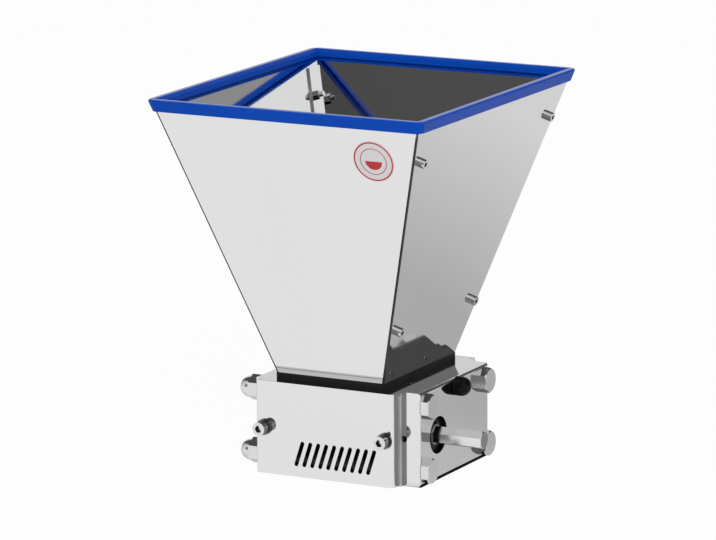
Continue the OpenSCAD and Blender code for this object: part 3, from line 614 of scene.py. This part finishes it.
def outside_painted_shadow(tree, place):
    """One outside the floor's painted shadow under the body and beside the gear cover, nought inside it."""
    cover_low, cover_high = (Vector(corner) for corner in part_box("gear_cover"))
    low = Vector((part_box("top_plate")[0][0] + FOOTPRINT_INSET, cover_low.y, 0))
    high = Vector((cover_high.x + CONTACT_SHADOW_WIDTH, cover_high.y, 0))
    half = (high - low) / 2
    offset = vector_math(tree, "SUBTRACT", place, (low + high) / 2)["Vector"]
    axes = split_axes(tree, vector_math(tree, "ABSOLUTE", offset)["Vector"])
    beyond_x = math_node(tree, "GREATER_THAN", axes["X"], half.x)
    beyond_y = math_node(tree, "GREATER_THAN", axes["Y"], half.y)
    return math_node(tree, "MAXIMUM", beyond_x, beyond_y)


def mirrored_level(tree, place, path):
    """Level of the floor to the metal, with painted light in front, painted shade close behind the mill on
    its right, and painted shade in gaps.
    """
    distance = vector_math(tree, "DISTANCE", place, SHADE_PLACE)["Value"]
    shade = map_range(tree, distance, SHADE_REACH, SHADE_LEVELS)
    lit_front = map_range(tree, split_axes(tree, place)["Y"], LIT_FRONT, (1, 0))
    level = math_node(tree, "MAXIMUM", shade, lit_front)
    gap_shade = map_range(tree, path["Glossy Depth"], (1, 2), (1, TWICE_MIRRORED_LEVEL))
    return math_node(tree, "MULTIPLY", level, gap_shade)


def floor_material():
    material, tree, shader = new_material("white studio floor")
    tree.nodes.remove(shader)
    place = tree.nodes.new("ShaderNodeTexCoord").outputs["Object"]
    path = tree.nodes.new("ShaderNodeLightPath").outputs
    outside = outside_painted_shadow(tree, place)
    diffuse = tree.nodes.new("ShaderNodeBsdfDiffuse")
    floor_colour_with_painted_shadow = mix_colours(tree, outside, (*FLOOR_PAINTED_SHADOW, 1), (*FLOOR_OPEN, 1))
    tree.links.new(floor_colour_with_painted_shadow, diffuse.inputs["Color"])
    white = tree.nodes.new("ShaderNodeEmission")
    mirrored = tree.nodes.new("ShaderNodeEmission")
    tree.links.new(mirrored_level(tree, place, path), mirrored.inputs["Strength"])
    seen = mix_shaders(tree, path["Is Glossy Ray"], white.outputs[0], mirrored.outputs[0])
    # Under the body and beside the gear cover the floor is painted near black as a shadow, lit only by what
    # reaches it.
    direct = math_node(tree, "MULTIPLY", direct_ray(tree, path), DIRECT_SHARE)
    share = math_node(tree, "MULTIPLY_ADD", path["Is Glossy Ray"], MIRRORED_SHARE, direct)
    open_share = math_node(tree, "MULTIPLY", share, outside)
    above = mix_shaders(tree, open_share, diffuse.outputs[0], seen)
    # From below the floor is clear, so that the underside shows.
    geometry = tree.nodes.new("ShaderNodeNewGeometry")
    clear = tree.nodes.new("ShaderNodeBsdfTransparent")
    surface = mix_shaders(tree, geometry.outputs["Backfacing"], above, clear.outputs[0])
    tree.links.new(surface, tree.nodes["Material Output"].inputs["Surface"])
    return material


def make_floor():
    floor = bpy.data.objects.new("studio_floor", bpy.data.meshes.new("studio_floor"))
    shape = bmesh.new()
    bmesh.ops.create_grid(shape, x_segments=1, y_segments=1, size=FLOOR_SIZE)
    bmesh.ops.translate(shape, verts=shape.verts, vec=(0, 0, FLOOR_HEIGHT))
    shape.to_mesh(floor.data)
    shape.free()
    bpy.context.collection.objects.link(floor)
    floor.data.materials.append(floor_material())


def background(tree, strength):
    node = tree.nodes.new("ShaderNodeBackground")
    feed(tree, strength, node.inputs["Strength"])
    return node.outputs[0]


def make_surroundings(fill):
    """Plain to the camera, a dim room with soft boxes to the metal, and an even fill to the rest."""
    world = bpy.data.worlds.new("studio")
    bpy.context.scene.world = world
    world.use_nodes = True
    tree = world.node_tree
    tree.nodes.clear()
    direction = tree.nodes.new("ShaderNodeTexCoord").outputs["Generated"]
    room = tree.nodes.new("ShaderNodeValToRGB")
    set_stops(room, [(height, (level, level, level, 1)) for height, level in ROOM_LEVELS])
    tree.links.new(split_axes(tree, direction)["Z"], room.inputs["Fac"])
    brightness = room.outputs["Color"]
    for aim, edge, core, level in SOFT_BOXES:
        toward = vector_math(tree, "DOT_PRODUCT", direction, Vector(aim).normalized())["Value"]
        patch = map_range(tree, toward, (edge, core), (0, level), "SMOOTHSTEP")
        brightness = math_node(tree, "MAXIMUM", brightness, patch)
    path = tree.nodes.new("ShaderNodeLightPath").outputs
    indirect = mix_shaders(tree, path["Is Glossy Ray"], background(tree, fill), background(tree, brightness))
    surface = mix_shaders(tree, direct_ray(tree, path), indirect, background(tree, 1))
    end = tree.nodes.new("ShaderNodeOutputWorld")
    tree.links.new(surface, end.inputs["Surface"])


def make_key_light(power):
    data = bpy.data.lights.new("key_light", "AREA")
    data.energy = power
    data.shape = "DISK"
    data.size = KEY_SIZE
    light = bpy.data.objects.new("key_light", data)
    light.location = KEY_PLACE
    light.rotation_euler = (Vector(KEY_AIM) - Vector(KEY_PLACE)).to_track_quat("-Z", "Y").to_euler()
    light.visible_glossy = False
    bpy.context.collection.objects.link(light)


def make_camera(stage):
    data = bpy.data.cameras.new("studio_camera")
    data.sensor_width = SENSOR_WIDTH
    data.lens = stage.lens
    data.clip_start = CLIP_START
    data.clip_end = CLIP_END
    camera = bpy.data.objects.new("studio_camera", data)
    turn, tilt, roll = stage.camera_turn
    back = Vector((math.sin(turn) * math.cos(tilt), -math.cos(turn) * math.cos(tilt), math.sin(tilt)))
    right = Vector((math.cos(turn), math.sin(turn), 0))
    up = back.cross(right)
    level = Matrix((right, up, back)).transposed()
    camera.matrix_world = (Matrix.Translation(Vector(stage.camera_place) + Vector((MILL_X, 0, 0)))
                           @ level.to_4x4() @ Matrix.Rotation(roll, 4, "Z"))
    bpy.context.collection.objects.link(camera)
    bpy.context.scene.camera = camera


class MILL_OT_stage(bpy.types.Operator):
    """White floor, soft light and the camera"""
    bl_idname = "mill.stage"
    bl_label = "Stage"

    def execute(self, context):
        stage = context.scene.mill_stage
        context.scene.view_settings.view_transform = "Standard"
        make_floor()
        make_surroundings(stage.fill_level)
        make_key_light(stage.key_power)
        make_camera(stage)
        return {"FINISHED"}


class MILL_PT_finishes(bpy.types.Panel):
    """Finishes and stage of the mill"""
    bl_idname = "MILL_PT_finishes"
    bl_label = "Malt mill"
    bl_space_type = "VIEW_3D"
    bl_region_type = "UI"
    bl_category = "Mill"

    def draw(self, context):
        for settings in (context.scene.mill_finishes, context.scene.mill_stage):
            for name in settings.__annotations__:
                self.layout.prop(settings, name)
        for operator in OPERATORS:
            self.layout.operator(operator.bl_idname)


OPERATORS = (
    MILL_OT_sheet, MILL_OT_plates, MILL_OT_fasteners, MILL_OT_running_gear, MILL_OT_carriages,
    MILL_OT_rim_trim, MILL_OT_knobs, MILL_OT_seal, MILL_OT_sticker, MILL_OT_stage,
)
CLASSES = (MillFinishes, MillStage, *OPERATORS, MILL_PT_finishes)


def register():
    for cls in CLASSES:
        bpy.utils.register_class(cls)
    bpy.types.Scene.mill_finishes = PointerProperty(type=MillFinishes)
    bpy.types.Scene.mill_stage = PointerProperty(type=MillStage)


def unregister():
    del bpy.types.Scene.mill_stage
    del bpy.types.Scene.mill_finishes
    for cls in reversed(CLASSES):
        bpy.utils.unregister_class(cls)


def main():
    register()
    bpy.ops.mill.sheet()
    bpy.ops.mill.plates()
    bpy.ops.mill.fasteners()
    bpy.ops.mill.running_gear()
    bpy.ops.mill.carriages()
    bpy.ops.mill.rim_trim()
    bpy.ops.mill.knobs()
    bpy.ops.mill.seal()
    bpy.ops.mill.sticker()
    bpy.ops.mill.stage()


if __name__ == "__main__":
    main()
